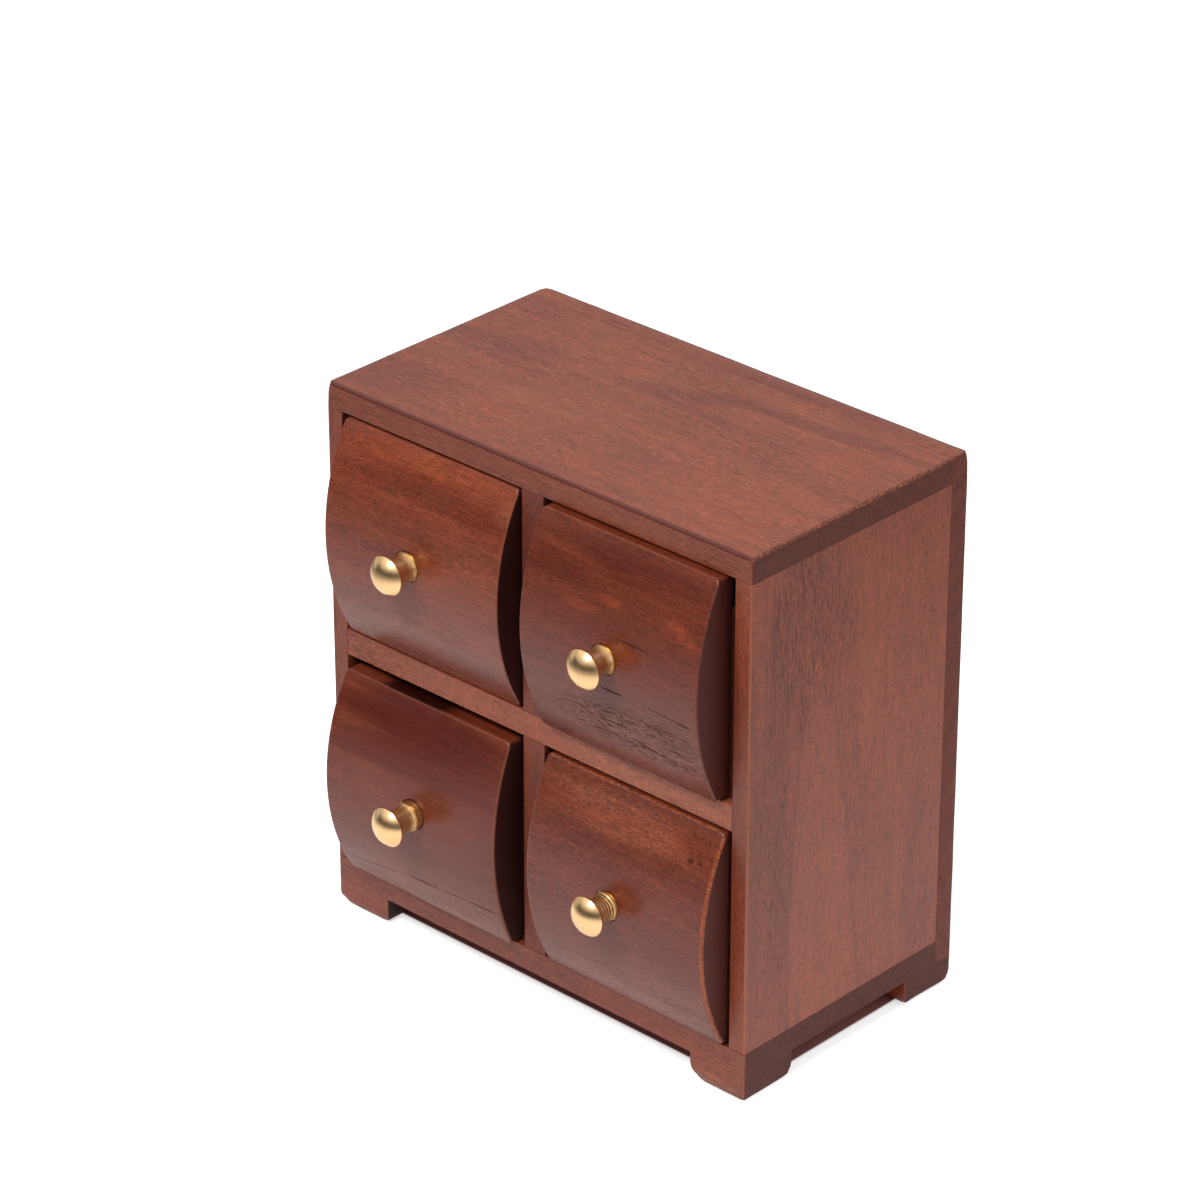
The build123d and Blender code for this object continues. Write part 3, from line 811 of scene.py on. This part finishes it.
def metalMaterial(name, look, tip=None, ringDepth=0.0):
    material, tree = newMaterial(name)
    place = caseMillimetres(tree)[0]
    cloud = grainNoise(tree, list(place), cloudMake["size"], cloudMake["seed"], cloudMake["detail"])
    rough = calc(tree, "MULTIPLY_ADD", cloud, look["cloud"], look["roughness"] - look["cloud"] / 2)
    relief = {"Strength": cloudMake["relief"], "Distance": cloudMake["depth"], "Height": cloud}
    bump = addNode(tree, "Bump", relief)
    colour, bumped = look["colour"], bump.outputs[0]
    if tip is not None:
        # the dome is a true sphere, smooth over its tip
        depth = calc(tree, "SUBTRACT", place[1], tip.y)
        point = addNode(tree, "CombineXYZ", dict(zip("XYZ", place))).outputs[0]
        away = stepFrom(tree, point, tip + Vector((0, look["domeRadius"], 0)))
        spaces = {"vector_type": "NORMAL", "convert_from": "OBJECT", "convert_to": "WORLD"}
        away = addNode(tree, "VectorTransform", {0: away}, **spaces).outputs[0]
        flat = addNode(tree, "NewGeometry").outputs["Normal"]
        onDome = fade(tree, depth, look["domeDepth"] - look["domeFade"], look["domeDepth"], 1.0, 0.0)
        setInput(tree, bump.inputs["Normal"], blendColour(tree, onDome, flat, away))
        # behind the head the lathe has left fine rings
        stem = fade(tree, depth, look["headDepth"], look["headDepth"] + look["headFade"])
        colour = blendColour(tree, stem, colour, look["stemColour"])
        rough = calc(tree, "MULTIPLY_ADD", stem, look["turnedRoughness"] - look["roughness"], rough)
        ring = calc(tree, "SINE", calc(tree, "MULTIPLY", depth, 2 * math.pi / look["ringPitch"]))
        ring = calc(tree, "MULTIPLY", ring, stem)
        bumped = addNode(tree, "Bump", {"Distance": ringDepth, "Height": ring, "Normal": bumped}).outputs[0]
    inputs = {"Base Color": colour, "Metallic": 1.0, "Roughness": rough, "Normal": bumped}
    setSurface(tree, addNode(tree, "BsdfPrincipled", inputs).outputs[0])
    return material


steelMetal = metalMaterial("brightSteel", steel)
for node in nodes:
    if node.endswith(("screw", "brads")):
        dress(node, steelMetal)
for name in drawers:
    knob = "drawer_" + name + "_knob"
    low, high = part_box(knob)
    tip = (Vector(((low.x + high.x) / 2, low.y, (low.z + high.z) / 2)) - caseCorner) / mm
    dress(knob, metalMaterial(name + "KnobBrass", brass, tip, ringDepths[name]))
print("metal finished")


# Studio: white floor, one soft key from the front, and a round wall, dim before the object and lit behind it.
# Angles in degrees, lengths in metres.

studio = {
    "floorSize": 8.0, "floorNear": 0.17, "floorFar": 0.62, "paintNear": 0.86, "paintFar": 0.30,
    "glossNear": 0.21, "glossFar": 0.0, "cameraNear": 0.6, "cameraFar": 0.9,
    "liftInset": (0.0061, 0.0094), "liftFade": 0.0012, "skyLevel": 0.82,
    "underCaseShade": {"Red": 0.44, "Green": 0.19, "Blue": 0.18},
    "keyAzimuth": 5.0, "keyElevation": 54.0, "keyDistance": 1.6, "keySize": 0.5, "keyPower": 15.0,
    "keyTarget": (0, 0, 0.1),
    "wallRadius": 3.4, "wallHeight": 2.6, "wallSteps": 96, "dimMiddle": 0.0, "dimHalf": 70.0, "dimEdge": 16.0,
    "dimFoot": 0.9, "dimHead": 2.1, "dimLow": 0.10, "dimHigh": 0.75,
    "rightMiddle": 100.0, "rightHalf": 45.0, "rightEdge": 15.0, "rightGlow": 1.35, "backGlow": 0.6,
}


def addStage(name, verts, faces):
    data = bpy.data.meshes.new(name)
    data.from_pydata(verts, [], faces)
    item = bpy.data.objects.new(name, data)
    bpy.context.scene.collection.objects.link(item)
    material, tree = newMaterial(name + "Paint")
    data.materials.append(material)
    return item, tree


def makeFloor():
    half = studio["floorSize"] / 2
    verts = [(-half, -half, 0), (half, -half, 0), (half, half, 0), (-half, half, 0)]
    tree = addStage("floor", verts, [(0, 1, 2, 3)])[1]
    coords = addNode(tree, "TexCoord").outputs["Object"]
    spots = addNode(tree, "SeparateXYZ", {0: coords}).outputs
    # painted light: the floor's paint and its glow are white round the object and grow dimmer far off, where
    # the camera does not look, as if the light fell off away from the object
    reach = addNode(tree, "VectorMath", {0: coords}, operation="LENGTH").outputs["Value"]
    span = {"Value": reach, "From Min": studio["floorNear"], "From Max": studio["floorFar"]}

    def graded(key):
        ends = {"To Min": studio[key + "Near"], "To Max": studio[key + "Far"]}
        return addNode(tree, "MapRange", span | ends).outputs[0]

    # painted shadow: well under the base the floor's paint is darkened and browned by the wood, and its glow
    # taken away
    low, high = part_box("base_board")
    bare = 0.0
    for axis in (0, 1):
        off = calc(tree, "ABSOLUTE", calc(tree, "SUBTRACT", spots[axis], (low[axis] + high[axis]) / 2))
        edge = (high[axis] - low[axis]) / 2 - studio["liftInset"][axis]
        bare = calc(tree, "MAXIMUM", bare, fade(tree, off, edge, edge + studio["liftFade"]))
    path = addNode(tree, "LightPath").outputs
    mirrored = calc(tree, "MAXIMUM", path["Is Glossy Ray"], path["Is Transmission Ray"])
    glow = calc(tree, "MULTIPLY", mirrored, graded("gloss"))
    glow = calc(tree, "MULTIPLY_ADD", path["Is Camera Ray"], graded("camera"), glow)
    parts, grey = {}, graded("paint")
    for key, share in studio["underCaseShade"].items():
        parts[key] = calc(tree, "MULTIPLY", grey, calc(tree, "MULTIPLY_ADD", bare, 1 - share, share))
    paint = addNode(tree, "BsdfDiffuse", {"Color": addNode(tree, "CombineColor", parts).outputs[0]})
    lift = addNode(tree, "Emission", {"Strength": calc(tree, "MULTIPLY", glow, bare)})
    setSurface(tree, addNode(tree, "AddShader", {0: paint.outputs[0], 1: lift.outputs[0]}).outputs[0])


def makeSky():
    world = bpy.data.worlds.new("studioSky")
    world.use_nodes = True
    bpy.context.scene.world = world
    tree = world.node_tree
    tree.nodes.clear()
    path = addNode(tree, "LightPath").outputs
    seen = calc(tree, "MAXIMUM", path["Is Glossy Ray"], path["Is Transmission Ray"])
    seen = calc(tree, "MAXIMUM", path["Is Camera Ray"], seen)
    level = calc(tree, "MULTIPLY_ADD", seen, 1 - studio["skyLevel"], studio["skyLevel"])
    sky = addNode(tree, "Background", {"Color": (1, 1, 1, 1), "Strength": level})
    setSurface(tree, sky.outputs[0], "OutputWorld")


def makeWall():
    steps, radius = studio["wallSteps"], studio["wallRadius"]
    verts, faces = [], []
    for step in range(steps):
        turn = 2 * math.pi * step / steps
        for height in (0.0, studio["wallHeight"]):
            verts.append((math.sin(turn) * radius, -math.cos(turn) * radius, height))
        after = (step + 1) % steps
        faces.append((2 * step, 2 * after, 2 * after + 1, 2 * step + 1))
    wall, tree = addStage("wall", verts, faces)
    spots = addNode(tree, "SeparateXYZ", {0: addNode(tree, "TexCoord").outputs["Object"]}).outputs
    turn = calc(tree, "ARCTAN2", spots[0], calc(tree, "MULTIPLY", spots[1], -1.0))

    def beyond(zone, low=0.0, high=1.0):
        # low within one zone of the wall, high past its soft edge
        away = calc(tree, "ABSOLUTE", calc(tree, "SUBTRACT", turn, math.radians(studio[zone + "Middle"])))
        half = studio[zone + "Half"]
        return fade(tree, away, math.radians(half - studio[zone + "Edge"]), math.radians(half), low, high)

    dim = fade(tree, spots[2], studio["dimFoot"], studio["dimHead"], studio["dimLow"], studio["dimHigh"])
    right = beyond("right", 1.0, 0.0)
    lit = calc(tree, "MULTIPLY_ADD", right, studio["rightGlow"] - studio["backGlow"], studio["backGlow"])
    glow = calc(tree, "MULTIPLY_ADD", beyond("dim"), calc(tree, "SUBTRACT", lit, dim), dim)
    setSurface(tree, addNode(tree, "Emission", {"Strength": glow}).outputs[0])
    wall.visible_camera = False
    wall.visible_shadow = False


def direction(azimuth, elevation):
    around, above = math.radians(azimuth), math.radians(elevation)
    level = math.cos(above)
    return Vector((math.sin(around) * level, -math.cos(around) * level, math.sin(above)))


def makeKey():
    away = direction(studio["keyAzimuth"], studio["keyElevation"])
    lamp = bpy.data.lights.new("keyBox", "AREA")
    lamp.energy = studio["keyPower"]
    lamp.size = studio["keySize"]
    key = bpy.data.objects.new("keyBox", lamp)
    bpy.context.scene.collection.objects.link(key)
    target = Vector(studio["keyTarget"])
    key.location = target + away * studio["keyDistance"]
    key.rotation_mode = "QUATERNION"
    key.rotation_quaternion = (target - key.location).to_track_quat("-Z", "Y")


makeFloor()
makeSky()
makeWall()
makeKey()


# Camera, fitted to the photograph: angles in degrees, lengths in metres

view = {
    "azimuth": 43.08, "elevation": 27.78, "roll": 0.06, "distance": 1.7507, "lens": 155.34, "sensor": 36.0,
    "target": (0.095, 0.0475, 0.095), "slideRight": -0.0105, "slideUp": 0.0357, "clip": (0.05, 50),
}


def makeCamera():
    back = direction(view["azimuth"], view["elevation"])
    right = (-back).cross(Vector((0, 0, 1))).normalized()
    up = right.cross(-back)
    turn = math.radians(view["roll"])
    right, up = right * math.cos(turn) + up * math.sin(turn), up * math.cos(turn) - right * math.sin(turn)
    target = caseCorner + Vector(view["target"]) + right * view["slideRight"] + up * view["slideUp"]
    lens = bpy.data.cameras.new("photoCamera")
    lens.lens, lens.sensor_width = view["lens"], view["sensor"]
    lens.clip_start, lens.clip_end = view["clip"]
    camera = bpy.data.objects.new("photoCamera", lens)
    bpy.context.scene.collection.objects.link(camera)
    pose = Matrix((right, up, back)).transposed().to_4x4()
    pose.translation = target + back * view["distance"]
    camera.matrix_world = pose
    bpy.context.scene.camera = camera


makeCamera()
bpy.context.scene.view_settings.view_transform = "Standard"
print("studio set")
